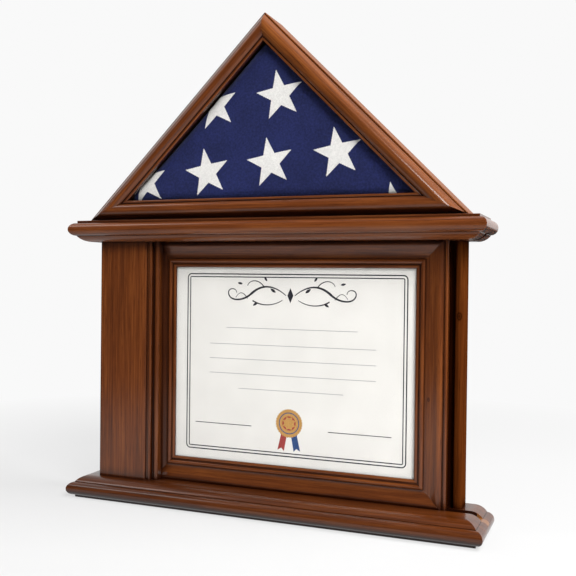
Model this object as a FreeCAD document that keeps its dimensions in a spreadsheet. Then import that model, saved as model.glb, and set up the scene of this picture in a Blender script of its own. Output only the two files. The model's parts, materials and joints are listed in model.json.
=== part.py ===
import FreeCAD, Part
import math
import os
import Sketcher

# A folded flag display case on a pedestal, with a slide-out certificate frame.
# A post at the front left, a side board and a right-hand post stand on a moulded base board and
# carry a cornice, the same moulding turned over. A glazed three-cornered flag case stands on top.
# A glazed certificate frame slides in from the right-hand end, in grooves along base and cornice.
# Frame: +Z up, front towards -Y, origin under the middle of the base board. Millimetres.

V = FreeCAD.Vector
doc = FreeCAD.newDocument("flag_display_case")

# Driving dimensions, kept in the sheet
DIMENSIONS = {
    # moulded boards: one edge profile, upright on the base and turned over on the cornice
    "board_width": 464.0,
    "board_depth": 76.0,
    "board_thick": 23.5,
    "cornice_level": 289.0,
    "foot_height": 2.6,
    "foot_setback": 7.6,
    "nose_height": 14.4,
    "nose_rise": 7.0,
    "quirk_height": 0.6,
    "shoulder_setback": 7.4,
    "shoulder_width": 12.0,
    # groove for the certificate frame
    "groove_front": 0.4,
    "groove_width": 10.1,
    "groove_depth": 6.0,
    "groove_depth_top": 7.5,
    "groove_end": -148.5,
    # posts and boards of the pedestal
    "post_left": -204.0,
    "post_right": -143.5,
    "post_rebate": -148.0,
    "post_front": -13.5,
    "post_back": 16.5,
    "post_round": 2.0,
    "strip_back": -0.2,
    "strip_quirk": 2.3,
    "strip_first_reed": 3.7,
    "strip_gap": 0.6,
    "strip_second_reed": 6.2,
    "strip_step": 4.0,
    "strip_rise": 1.6,
    "reed_rise": 2.0,
    "reed_quirk": 1.2,
    "side_thick": 18.0,
    "side_back": 36.0,
    "right_post_inner": 180.0,
    "right_post_outer": 203.5,
    "right_post_front": 11.4,
    "right_post_fillet": 5.0,
    "right_post_bead": 7.0,
    "back_board_thick": 5.0,
    # certificate frame: sight opening plus two rail widths each way
    "sight_width": 272.0,
    "sight_height": 211.0,
    "rail_width": 32.5,
    "rail_lip": 4.0,
    "rail_edge": 7.5,
    "rail_edge_bead": 3.4,
    "rail_edge_rise": 1.5,
    "rail_back_depth": 7.8,
    "rail_back_start": 4.0,
    "rail_back_radius": 5.0,
    "rail_crest": 9.0,
    "rail_crest_way": 11.0,
    "rail_hollow_radius": 24.0,
    "rail_hollow_depth": 5.8,
    "rail_bead_width": 4.5,
    "rail_bead_depth": 7.4,
    "rail_bead_radius": 2.6,
    "rail_quirk": 0.5,
    "rail_sight_depth": 6.2,
    "rail_sight_radius": 2.2,
    "rabbet_depth": 5.0,
    "frame_left": -147.5,
    "frame_low": 17.7,
    "frame_back": 10.25,
    "glass_thick": 1.5,
    "sheet_thick": 0.3,
    "sheet_width": 279.4,
    "sheet_height": 215.9,
    "backing_thick": 1.6,
    "rabbet_play": 0.2,
    "point_thick": 0.6,
    "point_width": 8.0,
    "point_length": 9.0,
    "point_across": 80.0,
    "point_up": 60.0,
    # flag case
    "flag_half": 213.5,
    "flag_front": -30.0,
    "flag_back": 26.0,
    "flag_board": 12.0,
    "flag_inset": 2.0,
    "moulding_width": 19.5,
    "moulding_depth": 9.0,
    "moulding_edge": 1.5,
    "moulding_slope": 2.9,
    "moulding_arris": 5.5,
    "moulding_lip": 3.6,
    "lip_bead": 3.1,
    "lip_depth": 4.2,
    "lip_rise": 0.9,
    "flag_glass_thick": 2.5,
    "flag_play": 0.4,
    "rebate_depth": 4.0,
    "rebate_width": 4.0,
    "pad_front_gap": 0.6,
    "pad_depth": 39.0,
    "pad_clear": 0.1,
    "pad_corner": 7.0,
    "pad_draw": 6.0,
    "mitre_reach": 80.0,
    # turn buttons and fasteners
    "button_reach": 17.0,
    "button_radius": 3.5,
    "button_hole": 1.7,
    "button_thick": 2.0,
    "button_gap": 0.2,
    "pivot_inset": 4.0,
    "screw_radius": 2.0,
    "screw_head": 4.0,
    "screw_hole_play": 0.2,
    "screw_bite": 14.0,
    "case_screw_bite": 9.0,
    "post_screw_reach": 14.0,
    "case_screw_reach": 110.0,
    "case_screw_depth": 18.0,
    "pivot_radius": 1.4,
    "pivot_head": 2.8,
    "pivot_head_height": 1.4,
    "pivot_bite": 11.0,
}

sheet = doc.addObject("Spreadsheet::Sheet", "Sizes")
for row, (alias, number) in enumerate(DIMENSIONS.items(), start=1):
    sheet.set("A%d" % row, alias)
    sheet.set("B%d" % row, str(number))
    sheet.setAlias("B%d" % row, alias)
doc.recompute()


class Size:
    """A length that carries its value and the sheet formula it comes from."""

    def __init__(self, value, text):
        self.value = float(value)
        self.text = text

    def join(self, other, sign, value):
        return Size(value, "(%s %s %s)" % (self.text, sign, other.text))

    def __add__(self, other):
        other = size(other)
        return self.join(other, "+", self.value + other.value)

    def __radd__(self, other):
        return size(other) + self

    def __sub__(self, other):
        other = size(other)
        return self.join(other, "-", self.value - other.value)

    def __rsub__(self, other):
        return size(other) - self

    def __mul__(self, other):
        other = size(other)
        return self.join(other, "*", self.value * other.value)

    def __rmul__(self, other):
        return size(other) * self

    def __truediv__(self, other):
        other = size(other)
        return self.join(other, "/", self.value / other.value)

    def __neg__(self):
        return 0 - self


def size(number):
    """A plain number or a Size, as a Size."""
    if isinstance(number, Size):
        return number
    return Size(number, "%.10f" % number if number >= 0 else "(%.10f)" % number)


class Sizes:
    """Every alias of the sheet as a Size."""

    def __init__(self):
        for alias, number in DIMENSIONS.items():
            setattr(self, alias, Size(number, "Sizes.%s" % alias))


D = Sizes()
SQRT2 = math.sqrt(2.0)
COT_SQUARE = 1.0          # mitre at a square corner
COT_POINT = 1.0 + SQRT2   # mitre at the two 45 degree corners of the flag case
PIECES = []


def piece(feature, label):
    """Name a finished sub-part and keep it for export."""
    feature.Label = label
    PIECES.append(feature)
    return feature


def bind(feature, prop, amount):
    """Set a property from the sheet."""
    feature.setExpression(prop, size(amount).text)


class Arc:
    """A round stretch of an outline: its radius, curving left (+1) or right (-1) along the way."""

    def __init__(self, radius, turn):
        self.radius = size(radius)
        self.turn = turn


PLANES = {
    "X": (FreeCAD.Rotation(V(0, 1, 0), V(0, 0, 1), V(1, 0, 0), "XYZ"), V(1, 0, 0), "x"),
    "Y": (FreeCAD.Rotation(V(1, 0, 0), V(0, 0, 1), V(0, -1, 0), "XYZ"), V(0, 1, 0), "y"),
    "Z": (FreeCAD.Rotation(V(1, 0, 0), V(0, 1, 0), V(0, 0, 1), "XYZ"), V(0, 0, 1), "z"),
}


def arc_edge(start, end, radius, turn):
    """Arc from start to end, curving to the left of the way when turn is +1."""
    chord = end - start
    rise = math.sqrt(max(radius * radius - chord.Length ** 2 / 4.0, 0.0))
    normal = V(-chord.y, chord.x, 0) / chord.Length
    centre = (start + end) / 2.0 + normal * (rise * turn)
    first, last = (start, end) if turn > 0 else (end, start)
    begin = math.atan2(first.y - centre.y, first.x - centre.x)
    finish = math.atan2(last.y - centre.y, last.x - centre.x)
    return Part.ArcOfCircle(Part.Circle(centre, V(0, 0, 1), radius), begin, finish)


def draw_outline(sketch, outline):
    """Closed outline of straight and round stretches, each corner bound to the sheet."""
    corners = [item for item in outline if not isinstance(item, Arc)]
    corners = [(size(a), size(b)) for a, b in corners]
    rounds = {}
    index = -1
    for item in outline:
        if isinstance(item, Arc):
            rounds[index] = item
        else:
            index += 1
    count = len(corners)
    ends = []
    for i in range(count):
        start = V(corners[i][0].value, corners[i][1].value, 0)
        stop = V(corners[(i + 1) % count][0].value, corners[(i + 1) % count][1].value, 0)
        if i in rounds:
            turn = rounds[i].turn
            geo = sketch.addGeometry(arc_edge(start, stop, rounds[i].radius.value, turn), False)
            ends.append((geo, 1, 2) if turn > 0 else (geo, 2, 1))
            rule = sketch.addConstraint(Sketcher.Constraint("Radius", geo, rounds[i].radius.value))
            bind(sketch, "Constraints[%d]" % rule, rounds[i].radius)
        else:
            geo = sketch.addGeometry(Part.LineSegment(start, stop), False)
            ends.append((geo, 1, 2))
    for i in range(count):
        geo, begin, finish = ends[i]
        after, after_begin = ends[(i + 1) % count][:2]
        sketch.addConstraint(Sketcher.Constraint("Coincident", geo, finish, after, after_begin))
        for kind, amount in zip(("DistanceX", "DistanceY"), corners[i]):
            rule = sketch.addConstraint(Sketcher.Constraint(kind, -1, 1, geo, begin, amount.value))
            bind(sketch, "Constraints[%d]" % rule, amount)


def prism(name, axis, outline, start, stop):
    """Outline drawn square to an axis, extruded along that axis from start to stop."""
    turn, way, letter = PLANES[axis]
    sketch = doc.addObject("Sketcher::SketchObject", name + "_outline")
    sketch.Placement = FreeCAD.Placement(V(0, 0, 0), turn)
    bind(sketch, "Placement.Base.%s" % letter, start)
    draw_outline(sketch, outline)
    solid = doc.addObject("Part::Extrusion", name)
    solid.Base = sketch
    solid.DirMode = "Custom"
    solid.Dir = way
    solid.Solid = True
    bind(solid, "LengthFwd", size(stop) - start)
    return solid


def block(name, low, high):
    """Rectangular block between two corners."""
    solid = doc.addObject("Part::Box", name)
    for prop, letter, a, b in zip(("Length", "Width", "Height"), "xyz", low, high):
        bind(solid, prop, size(b) - a)
        bind(solid, "Placement.Base.%s" % letter, a)
    return solid


def combine(kind, name, base, tool):
    """Boolean of two solids: Cut, Common or Fuse."""
    result = doc.addObject("Part::%s" % kind, name)
    result.Base = base
    result.Tool = tool
    return result


def place(feature, x, y, z, degrees):
    """Put a piece that was built along X into its place, turned about the depth axis."""
    feature.Placement = FreeCAD.Placement(V(0, 0, 0), FreeCAD.Rotation(V(0, 1, 0), degrees))
    for letter, amount in zip("xyz", (x, y, z)):
        bind(feature, "Placement.Base.%s" % letter, amount)
    return feature


def mitred_bar(name, profile, length, width, first_cot, last_cot):
    """Moulding along X: a profile in Y and Z, with its two ends cut at a mitre."""
    stick = prism(name + "_stick", "X", profile, 0, length)
    plan = [(0, 0), (length, 0), (length - width * last_cot, width), (width * first_cot, width)]
    ends = prism(name + "_ends", "Y", plan, -D.mitre_reach, D.mitre_reach)
    return combine("Common", name, stick, ends)


def swell(chord, rise):
    """Radius of an arc that stands out by rise over a chord."""
    return (chord * chord / 4.0 + rise * rise) / (2.0 * rise)


def group(name, members):
    """Separate solids kept together in one node."""
    gathered = doc.addObject("Part::Compound", name)
    gathered.Links = members
    return gathered


def body_pad(name, role, outline, length, backwards=False):
    """Body with one sketch on an origin plane, padded by a length from the sheet."""
    body = doc.addObject("PartDesign::Body", name)
    sketch = body.newObject("Sketcher::SketchObject", name + "_sketch")
    plane = [item for item in body.Origin.OriginFeatures if item.Role == role][0]
    sketch.AttachmentSupport = [(plane, "")]
    sketch.MapMode = "FlatFace"
    draw_outline(sketch, outline)
    pad = body.newObject("PartDesign::Pad", name + "_pad")
    pad.Profile = sketch
    pad.Reversed = backwards
    bind(pad, "Length", length)
    return body, sketch


def add_circle(sketch, x, y, radius):
    """Round hole in a sketch."""
    circle = Part.Circle(V(size(x).value, size(y).value, 0), V(0, 0, 1), radius.value)
    geo = sketch.addGeometry(circle, False)
    rules = (("Radius", (geo,), radius), ("DistanceX", (-1, 1, geo, 3), x), ("DistanceY", (-1, 1, geo, 3), y))
    for kind, where, amount in rules:
        rule = sketch.addConstraint(Sketcher.Constraint(kind, *where, size(amount).value))
        bind(sketch, "Constraints[%d]" % rule, amount)


def screw(name, radius, head, length, x, y, z, tilt):
    """Countersunk screw: head at the given point, driven along Z and then tilted about X."""
    cone = doc.addObject("Part::Cone", name + "_head")
    shank = doc.addObject("Part::Cylinder", name + "_shank")
    bind(cone, "Radius1", head)
    bind(cone, "Radius2", radius)
    bind(cone, "Height", size(head) - radius)
    bind(shank, "Radius", radius)
    bind(shank, "Height", length)
    whole = combine("Fuse", name, cone, shank)
    whole.Placement = FreeCAD.Placement(V(0, 0, 0), FreeCAD.Rotation(V(1, 0, 0), tilt))
    for letter, amount in zip("xyz", (x, y, z)):
        bind(whole, "Placement.Base.%s" % letter, amount)
    return whole


def screws_and_holes(name, spots, length, level, tilt):
    """A set of equal screws, and the looser shapes that drill their clearance holes."""
    made = []
    holes = []
    for i, (x, y) in enumerate(spots):
        where = (x, y, level, tilt)
        made.append(screw("%s_%d" % (name, i), D.screw_radius, D.screw_head, length, *where))
        loose = D.screw_radius + D.screw_hole_play
        wide = D.screw_head + D.screw_hole_play
        holes.append(screw("%s_hole_%d" % (name, i), loose, wide, length, *where))
    piece(group(name, made), name)
    return group(name + "_holes", holes)


# Moulded boards
def moulded_side(tip, inward, foot_level, up):
    """Edge profile from the foot to the flat face: foot set back, round nose, quirk, wide shoulder."""
    foot = tip + inward * D.foot_setback
    nose = tip + inward * D.nose_rise
    edge = tip + inward * D.shoulder_setback
    flat = edge + inward * D.shoulder_width
    nose_start = foot_level + up * D.foot_height
    nose_end = nose_start + up * D.nose_height
    shoulder = nose_end + up * D.quirk_height
    face = foot_level + up * D.board_thick
    fall = D.board_thick - D.foot_height - D.nose_height - D.quirk_height
    nose_radius = swell(D.nose_height, D.nose_rise)
    shoulder_radius = swell(2.0 * D.shoulder_width, fall)
    return [(foot, foot_level), (foot, nose_start), (nose, nose_start), Arc(nose_radius, 1),
            (nose, nose_end), (edge, nose_end), (edge, shoulder), Arc(shoulder_radius, 1), (flat, face)]


def moulded_board(name, foot_level, up, groove_depth, holes):
    """Board moulded on its front and both ends, grooved in its shouldered face, and drilled."""
    half_width = D.board_width / 2.0
    half_depth = D.board_depth / 2.0
    face = foot_level + up * D.board_thick
    right_end = moulded_side(half_width, -1, foot_level, up)
    left_end = moulded_side(-half_width, 1, foot_level, up)
    front_edge = moulded_side(-half_depth, 1, foot_level, up)
    back_edge = [(half_depth, foot_level), (half_depth, face)]
    ends = right_end + left_end[::-1]
    sides = back_edge + front_edge[::-1]
    if up < 0:
        ends = ends[::-1]
        sides = sides[::-1]
    along = prism(name + "_ends", "Y", ends, -half_depth, half_depth)
    across = prism(name + "_front", "X", sides, -half_width, half_width)
    solid = combine("Common", name + "_moulded", along, across)
    groove_back = D.groove_front + D.groove_width
    groove_low, groove_high = (face - groove_depth, face) if up > 0 else (face, face + groove_depth)
    groove = block(name + "_groove", (D.groove_end, D.groove_front, groove_low),
                   (half_width, groove_back, groove_high))
    for i, tool in enumerate([groove] + holes):
        solid = combine("Cut", "%s_cut_%d" % (name, i), solid, tool)
    return piece(solid, name)


cornice_top = D.cornice_level + D.board_thick
post_middle = (D.post_left + D.post_right) / 2.0
post_depth_middle = (D.post_front + D.post_back) / 2.0
side_middle = D.post_left + D.side_thick / 2.0
side_depth_middle = (D.post_back + D.side_back) / 2.0
right_middle = (D.right_post_inner + D.right_post_outer) / 2.0
right_depth_middle = (D.right_post_front + D.side_back) / 2.0
uprights = [(post_middle - D.post_screw_reach, post_depth_middle),
            (post_middle + D.post_screw_reach, post_depth_middle),
            (side_middle, side_depth_middle), (right_middle, right_depth_middle)]
case_spots = [(-D.case_screw_reach, D.case_screw_depth), (D.case_screw_reach, D.case_screw_depth)]

upright_length = D.board_thick + D.screw_bite
case_length = D.board_thick + D.case_screw_bite
base_holes = screws_and_holes("base_screws", uprights, upright_length, size(0), 0)
cornice_holes = screws_and_holes("cornice_screws", uprights, upright_length, cornice_top, 180)
case_holes = screws_and_holes("flag_case_screws", case_spots, case_length, D.cornice_level, 0)

moulded_board("base_board", size(0), 1, D.groove_depth, [base_holes])
moulded_board("cornice_board", cornice_top, -1, D.groove_depth_top, [cornice_holes, case_holes])


# Posts and boards of the pedestal
upright_height = D.cornice_level - D.board_thick


def left_post():
    """Wide flat post, its front edges rounded over and its back corner rebated for the frame."""
    r = D.post_round
    outline = [(D.post_left, D.post_front + r), Arc(r, 1), (D.post_left + r, D.post_front),
               (D.post_right - r, D.post_front), Arc(r, 1), (D.post_right, D.post_front + r),
               (D.post_right, D.strip_back), (D.post_rebate, D.strip_back),
               (D.post_rebate, D.post_back), (D.post_left, D.post_back)]
    body = body_pad("left_post", "XY_Plane", outline, upright_height)[0]
    place(body, 0, 0, D.board_thick, 0)
    return piece(body, "left_post")


def post_moulding():
    """Strip of two stepped reeds on the post's edge, standing just in front of the certificate frame."""
    first_left = D.post_right + D.strip_quirk
    first_right = first_left + D.strip_first_reed
    second_left = first_right + D.strip_gap
    second_right = second_left + D.strip_second_reed
    spring = D.post_front + D.reed_rise
    second_spring = spring + D.strip_step
    outline = [(D.post_right, spring), (first_left, spring),
               Arc(swell(D.strip_first_reed, D.strip_rise), 1), (first_right, spring),
               (first_right, second_spring), (second_left, second_spring),
               Arc(swell(D.strip_second_reed, D.strip_rise), 1), (second_right, second_spring),
               (second_right, D.strip_back), (D.post_right, D.strip_back)]
    body = body_pad("post_moulding", "XY_Plane", outline, upright_height)[0]
    place(body, 0, 0, D.board_thick, 0)
    return piece(body, "post_moulding")


def right_post():
    """End post whose front edge carries a narrow and a wide reed."""
    hollow = D.right_post_front + D.reed_rise
    bead_left = D.right_post_inner + D.right_post_fillet
    bead_right = bead_left + D.right_post_bead
    reed_left = bead_right + D.reed_quirk
    reed_width = D.right_post_outer - reed_left
    outline = [(D.right_post_inner, hollow), (bead_left, hollow),
               Arc(swell(D.right_post_bead, D.reed_rise), 1), (bead_right, hollow), (reed_left, hollow),
               Arc(swell(reed_width, D.reed_rise), 1), (D.right_post_outer, hollow),
               (D.right_post_outer, D.side_back), (D.right_post_inner, D.side_back)]
    body = body_pad("right_post", "XY_Plane", outline, upright_height)[0]
    place(body, 0, 0, D.board_thick, 0)
    return piece(body, "right_post")


left_post()
post_moulding()
right_post()
side_inner = D.post_left + D.side_thick
piece(block("left_side_board", (D.post_left, D.post_back, D.board_thick),
            (side_inner, D.side_back, D.cornice_level)), "left_side_board")
piece(block("pedestal_back_board", (side_inner, D.post_back, D.board_thick),
            (D.right_post_inner, D.post_back + D.back_board_thick, D.cornice_level)),
      "pedestal_back_board")


# Certificate frame
def rail_profile():
    """Picture moulding: depth in front of the back face, and way in from the outer edge."""
    width = D.rail_width
    sight = width - D.rail_lip
    bead_in = sight - 2.0 * D.rail_quirk
    bead_out = bead_in - D.rail_bead_width
    return [(0, 0), (-D.rail_edge, 0), Arc(swell(D.rail_edge_bead, D.rail_edge_rise), -1),
            (-D.rail_edge, D.rail_edge_bead), (-D.rail_back_depth, D.rail_back_start),
            Arc(D.rail_back_radius, -1), (-D.rail_crest, D.rail_crest_way), Arc(D.rail_hollow_radius, 1),
            (-D.rail_hollow_depth, bead_out - D.rail_quirk), (-D.rail_bead_depth, bead_out),
            Arc(D.rail_bead_radius, -1), (-D.rail_bead_depth, bead_in),
            (-D.rail_sight_depth, bead_in + D.rail_quirk), (-D.rail_sight_depth, sight),
            Arc(D.rail_sight_radius, -1), (-D.rail_sight_depth, width),
            (-D.rabbet_depth, width), (-D.rabbet_depth, sight), (0, sight)]


frame_width = D.sight_width + 2.0 * D.rail_width
frame_height = D.sight_height + 2.0 * D.rail_width
frame_right = D.frame_left + frame_width
frame_high = D.frame_low + frame_height
RAILS = (("frame_bottom_rail", frame_width, D.frame_left, D.frame_low, 0),
         ("frame_right_stile", frame_height, frame_right, D.frame_low, -90),
         ("frame_top_rail", frame_width, frame_right, frame_high, 180),
         ("frame_left_stile", frame_height, D.frame_left, frame_high, 90))
for name, length, x, z, degrees in RAILS:
    bar = mitred_bar(name, rail_profile(), length, D.rail_width, COT_SQUARE, COT_SQUARE)
    piece(place(bar, x, D.frame_back, z, degrees), name)

frame_middle = (D.frame_left + frame_right) / 2.0
frame_centre = (D.frame_low + frame_high) / 2.0


def layer(name, width, height, front, thick):
    """Flat sheet centred in the certificate frame, front face a given depth ahead of the frame's back."""
    near = D.frame_back - front
    low = (frame_middle - width / 2.0, near, frame_centre - height / 2.0)
    high = (frame_middle + width / 2.0, near + thick, frame_centre + height / 2.0)
    return piece(block(name, low, high), name)


rabbet_width = D.sight_width + 2.0 * D.rail_lip - 2.0 * D.rabbet_play
rabbet_height = D.sight_height + 2.0 * D.rail_lip - 2.0 * D.rabbet_play
sheet_front = D.rabbet_depth - D.glass_thick
backing_front = sheet_front - D.sheet_thick
points_front = backing_front - D.backing_thick
layer("certificate_glass", rabbet_width, rabbet_height, D.rabbet_depth, D.glass_thick)
layer("certificate_sheet", D.sheet_width, D.sheet_height, sheet_front, D.sheet_thick)
layer("certificate_backing", rabbet_width, rabbet_height, backing_front, D.backing_thick)

half_across = D.sight_width / 2.0 + D.rail_lip
half_up = D.sight_height / 2.0 + D.rail_lip
point_spots = [(side * D.point_across, end * half_up, 0) for side in (-1, 1) for end in (-1, 1)]
point_spots += [(side * half_across, end * D.point_up, 1) for side in (-1, 1) for end in (-1, 1)]
points = []
for i, (across, up, sideways) in enumerate(point_spots):
    reach = (D.point_length if sideways else D.point_width) / 2.0
    rise = (D.point_width if sideways else D.point_length) / 2.0
    x = frame_middle + across
    z = frame_centre + up
    near = D.frame_back - points_front
    points.append(block("frame_point_%d" % i, (x - reach, near, z - rise),
                        (x + reach, near + D.point_thick, z + rise)))
piece(group("frame_points", points), "frame_points")


# Flag case: three sides round a right-angled triangle that stands on its long side
flag_low = cornice_top
SIDES = (("bottom", COT_POINT, COT_POINT, 0), ("right", COT_POINT, COT_SQUARE, -135),
         ("left", COT_SQUARE, COT_POINT, 135))


def triangle_place(feature, side, degrees, inset, depth):
    """Put a bar of the three-sided case on its side of the triangle, set in from the outside."""
    half = D.flag_half - inset * COT_POINT
    low = flag_low + inset
    corner = {"bottom": (-half, low), "right": (half, low), "left": (size(0), low + half)}[side]
    return place(feature, corner[0], depth, corner[1], degrees)


def triangle_length(side, inset):
    """Outer length of one side of the case, set in from the outside."""
    half = D.flag_half - inset * COT_POINT
    return 2.0 * half if side == "bottom" else half * SQRT2


board_front = D.flag_front + D.moulding_depth
board_depth = D.flag_back - board_front
BOARD_NAMES = {"bottom": "flag_floor_board", "right": "flag_right_side", "left": "flag_left_side"}


def board_profile():
    """Section of a case board: depth from its front edge, and thickness, rebated for the back panel."""
    step = board_depth - D.rebate_depth
    thin = D.flag_board - D.rebate_width
    return [(0, 0), (board_depth, 0), (board_depth, thin), (step, thin), (step, D.flag_board),
            (0, D.flag_board)]


def moulding_profile():
    """Section of a front moulding: sloped outer edge, broad round, then a small bead at the opening."""
    width = D.moulding_width
    round_end = width - D.moulding_lip
    bead = width - D.lip_bead
    crown = swell(round_end - D.moulding_slope, D.moulding_depth - D.moulding_arris)
    return [(0, 0), (-D.moulding_edge, 0), (-D.moulding_arris, D.moulding_slope), Arc(crown, -1),
            (-D.moulding_arris, round_end), (-D.lip_depth, round_end), (-D.lip_depth, bead),
            Arc(swell(D.lip_bead, D.lip_rise), -1), (-D.lip_depth, width), (0, width)]


for side, first, last, degrees in SIDES:
    name = BOARD_NAMES[side]
    length = triangle_length(side, size(0))
    bar = mitred_bar(name, board_profile(), length, D.flag_board, first, last)
    piece(triangle_place(bar, side, degrees, size(0), board_front), name)

for side, first, last, degrees in SIDES:
    name = "flag_%s_moulding" % side
    length = triangle_length(side, D.flag_inset)
    bar = mitred_bar(name, moulding_profile(), length, D.moulding_width, first, last)
    piece(triangle_place(bar, side, degrees, D.flag_inset, board_front), name)


def triangle_outline(inset):
    """Sharp triangle set in from the outside of the case."""
    half = D.flag_half - inset * COT_POINT
    low = flag_low + inset
    return [(-half, low), (half, low), (size(0), low + half)]


def soft_triangle(inset, r):
    """Triangle set in from the outside of the case, its three corners rounded."""
    half = D.flag_half - inset * COT_POINT
    low = flag_low + inset
    reach = r * COT_POINT
    slant = reach / SQRT2
    tip = r / SQRT2
    return [(reach - half, low), (half - reach, low), Arc(r, 1), (half - slant, low + slant),
            (tip, low + half - tip), Arc(r, 1), (-tip, low + half - tip),
            (slant - half, low + slant), Arc(r, 1)]


inner_inset = D.flag_board + D.flag_play
glass_back = board_front + D.flag_glass_thick
piece(prism("flag_glass", "Y", triangle_outline(inner_inset), board_front, glass_back), "flag_glass")
panel_inset = D.flag_board - D.rebate_width + D.flag_play
panel_front = D.flag_back - D.rebate_depth
panel = prism("flag_back_panel", "Y", triangle_outline(panel_inset), panel_front, D.flag_back)
piece(panel, "flag_back_panel")


# Sections of the folded flag: share of its depth, and share of the draw at its edges
PAD_SECTIONS = ((0.0, 1.0), (0.03, 0.45), (0.10, 0.1), (0.5, 0.0), (0.9, 0.1), (0.97, 0.45), (1.0, 1.0))


def folded_flag():
    """Folded cloth: a three-cornered pad with a crowned face and sides drawn in at both ends."""
    near = glass_back + D.pad_front_gap
    sections = []
    for i, (way, drawn) in enumerate(PAD_SECTIONS):
        sketch = doc.addObject("Sketcher::SketchObject", "folded_flag_%d" % i)
        sketch.Placement = FreeCAD.Placement(V(0, 0, 0), PLANES["Y"][0])
        bind(sketch, "Placement.Base.y", near + D.pad_depth * way)
        draw_outline(sketch, soft_triangle(D.flag_board + D.pad_clear + D.pad_draw * drawn, D.pad_corner))
        sections.append(sketch)
    loft = doc.addObject("Part::Loft", "folded_flag")
    loft.Sections = sections
    loft.Solid = True
    loft.Ruled = True
    return piece(loft, "folded_flag")


folded_flag()


# Turn buttons on the back edges of the flag case
button_front = D.flag_back + D.button_gap
button_back = button_front + D.button_thick


def pivots():
    """Middle of each side of the case, at the depth of the button pivots: point and inward angle."""
    half = D.flag_half
    inset = D.pivot_inset / SQRT2
    return (("bottom", size(0), flag_low + D.pivot_inset, 0),
            ("right", half / 2.0 - inset, flag_low + half / 2.0 - inset, -135),
            ("left", inset - half / 2.0, flag_low + half / 2.0 - inset, 135))


pivot_screws = []
for side, x, z, degrees in pivots():
    r = D.button_radius
    outline = [(-r, 0), Arc(r, 1), (size(0), -r), Arc(r, 1), (r, 0), (r, D.button_reach - r), Arc(r, 1),
               (size(0), D.button_reach), Arc(r, 1), (-r, D.button_reach - r)]
    name = "flag_turn_button_%s" % side
    body, sketch = body_pad(name, "XZ_Plane", outline, D.button_thick, True)
    add_circle(sketch, 0, 0, D.button_hole)
    piece(place(body, x, button_front, z, degrees), name)
    head = doc.addObject("Part::Cylinder", name + "_screw_head")
    bind(head, "Radius", D.pivot_head)
    bind(head, "Height", D.pivot_head_height)
    shank = doc.addObject("Part::Cylinder", name + "_screw_shank")
    bind(shank, "Radius", D.pivot_radius)
    bind(shank, "Height", D.pivot_head_height + D.button_thick + 2.0 * D.button_gap + D.pivot_bite)
    pivot = combine("Fuse", name + "_screw", head, shank)
    pivot.Placement = FreeCAD.Placement(V(0, 0, 0), FreeCAD.Rotation(V(1, 0, 0), 90))
    screw_back = button_back + D.button_gap + D.pivot_head_height
    for letter, amount in zip("xyz", (x, screw_back, z)):
        bind(pivot, "Placement.Base.%s" % letter, amount)
    pivot_screws.append(pivot)
piece(group("turn_button_screws", pivot_screws), "turn_button_screws")

# Recompute, check and export
doc.recompute()
failed = [item.Label for item in doc.Objects if "Invalid" in item.State or "Error" in item.State]
for feature in PIECES:
    if feature.Shape.isNull() or not feature.Shape.isValid() or not feature.Shape.Solids:
        failed.append(feature.Label)
if failed:
    raise SystemExit("failed: %s" % ", ".join(failed))
os.makedirs("parts", exist_ok=True)
for feature in PIECES:
    feature.Shape.exportStep("parts/%s.step" % feature.Label)
    print("%-26s %d solids  %9.0f mm3" % (feature.Label, len(feature.Shape.Solids), feature.Shape.Volume))
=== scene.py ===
# %% [markdown]
# # A folded flag display case
#
# The case is dark stained wood with a satin lacquer. A three-cornered glazed box holds a folded flag,
# and the pedestal under it holds a glazed certificate frame that slides out to the right.
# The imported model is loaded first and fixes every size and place. Each step below gives it its looks.

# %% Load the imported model
import json
import math

import bmesh
import bpy
from mathutils import Matrix, Vector
from mathutils.bvhtree import BVHTree

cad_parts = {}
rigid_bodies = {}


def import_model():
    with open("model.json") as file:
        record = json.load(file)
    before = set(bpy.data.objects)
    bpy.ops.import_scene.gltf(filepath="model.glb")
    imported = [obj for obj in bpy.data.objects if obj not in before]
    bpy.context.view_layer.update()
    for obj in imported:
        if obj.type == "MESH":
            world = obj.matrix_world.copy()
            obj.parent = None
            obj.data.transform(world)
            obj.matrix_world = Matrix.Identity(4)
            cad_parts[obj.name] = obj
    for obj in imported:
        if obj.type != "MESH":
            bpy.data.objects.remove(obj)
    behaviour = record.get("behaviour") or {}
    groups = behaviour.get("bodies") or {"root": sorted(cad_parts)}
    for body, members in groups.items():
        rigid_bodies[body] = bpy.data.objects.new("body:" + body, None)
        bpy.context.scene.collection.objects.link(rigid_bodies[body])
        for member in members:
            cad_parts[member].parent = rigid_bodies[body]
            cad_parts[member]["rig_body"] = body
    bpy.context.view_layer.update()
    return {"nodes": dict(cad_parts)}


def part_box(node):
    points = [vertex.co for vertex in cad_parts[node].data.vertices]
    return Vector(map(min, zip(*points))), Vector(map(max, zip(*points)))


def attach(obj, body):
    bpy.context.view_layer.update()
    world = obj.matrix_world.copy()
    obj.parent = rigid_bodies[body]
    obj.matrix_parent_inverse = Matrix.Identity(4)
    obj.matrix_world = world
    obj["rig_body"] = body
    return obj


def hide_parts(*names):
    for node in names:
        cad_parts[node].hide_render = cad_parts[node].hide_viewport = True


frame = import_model()
nodes = frame["nodes"]
MM = 0.001
scene = bpy.context.scene
scene.view_settings.view_transform = "Standard"

# %% [markdown]
# ## The camera
#
# The photograph was taken from close by, well past the right-hand end, a little above the middle of the
# pedestal. Its place and turn were worked out from the corners of the case, so they are written
# here as a real place in metres and three angles.

# %% Camera
CAMERA_PLACE = Vector((0.3469, -0.8109, 0.2503))
CAMERA_YAW = math.radians(21.90)
CAMERA_PITCH = math.radians(0.68)
CAMERA_ROLL = math.radians(0.63)
LENS_MM = 51.8
SENSOR_MM = 36.0


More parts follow.
